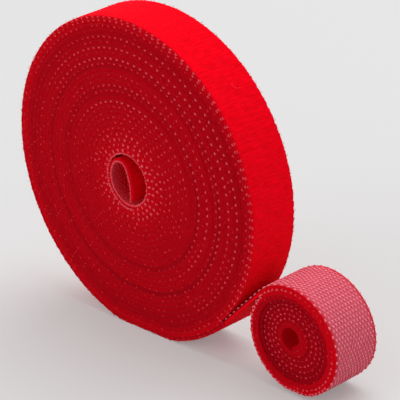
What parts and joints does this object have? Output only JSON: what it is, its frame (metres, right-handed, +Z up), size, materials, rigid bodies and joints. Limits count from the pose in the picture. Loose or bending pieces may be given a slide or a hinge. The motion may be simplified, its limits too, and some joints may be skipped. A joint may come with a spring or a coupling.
{
  "type": "hook and loop tape roll",
  "caption": "Roll of back-to-back hook and loop tape standing on edge, loop side out, its free end wound the other way into a small roll with the hook side out.",
  "frame": {"origin": "middle of the flat that the supply roll rests on, under the roll's axis and half way across the tape", "axes": "+Z up from the surface the part stands on, +X from the supply roll to the end roll, +Y along the rolls' axes to the far face"},
  "size_m": [0.1189, 0.015, 0.0897],
  "materials": {
    "loop_pile": "brushed nylon loop pile, soft and matt",
    "hook_cloth": "woven nylon with rows of stiff translucent hooks, slightly glossy"
  },
  "bodies": {
    "supply_roll": {"supply_roll_loop_ply": "loop_pile", "supply_roll_hook_ply": "hook_cloth"},
    "inner_curl": {"inner_curl_loop_ply": "loop_pile", "inner_curl_hook_ply": "hook_cloth"},
    "free_stretch": {"free_stretch_loop_ply": "loop_pile", "free_stretch_hook_ply": "hook_cloth"},
    "end_roll": {"end_roll_loop_ply": "loop_pile", "end_roll_hook_ply": "hook_cloth"}
  },
  "joints": [
    {"name": "peel_line", "type": "hinge", "parent": "supply_roll", "child": "free_stretch", "pos_m": [0.03181, 0, 0.0125], "axis": [0, 1, 0], "range_deg": [-6, 35]},
    {"name": "roll_up_line", "type": "hinge", "parent": "free_stretch", "child": "end_roll", "pos_m": [0.04617, 0, 0.02662], "axis": [0, -1, 0], "range_deg": [-5, 35]},
    {"name": "inner_end_flex", "type": "hinge", "parent": "supply_roll", "child": "inner_curl", "pos_m": [-0.00155, 0, 0.0365], "axis": [0, 1, 0], "range_deg": [0, 20]}
  ]
}
